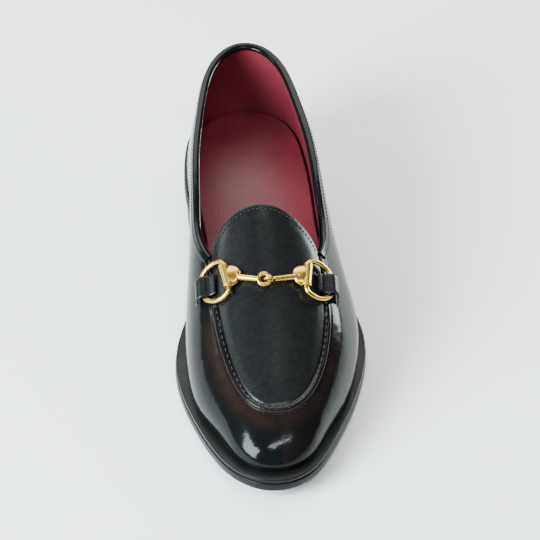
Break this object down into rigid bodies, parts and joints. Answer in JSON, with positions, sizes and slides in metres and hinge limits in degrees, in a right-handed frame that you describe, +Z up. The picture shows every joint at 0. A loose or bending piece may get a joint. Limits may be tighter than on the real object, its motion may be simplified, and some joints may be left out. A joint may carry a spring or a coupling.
{
  "type": "bit loafer",
  "caption": "Black calf slip-on loafer for the left foot, with a raised apron seam, a brass snaffle bit over the vamp, a welted sole and a low stacked heel",
  "frame": {"origin": "on the floor under the middle of the heel", "axes": "+Z up, toe toward -Y, outer side of the foot toward +X"},
  "size_m": [0.1067, 0.298, 0.086],
  "materials": {
    "polished_calf": "polished",
    "soft_calf": "satin",
    "sole_edge": "satin",
    "rubber": "matte",
    "burgundy_lining": "satin",
    "polished_brass": "polished"
  },
  "bodies": {
    "root": {"upper": "polished_calf", "apron": "soft_calf", "collar_binding": "polished_calf", "outsole": "sole_edge", "welt": "sole_edge", "heel_stack": "sole_edge", "top_lift": "rubber", "insole": "burgundy_lining", "ring_medial": "polished_brass", "ring_lateral": "polished_brass", "bar_medial": "polished_brass", "bar_lateral": "polished_brass", "keeper_medial": "polished_calf", "keeper_lateral": "polished_calf"}
  },
  "joints": []
}
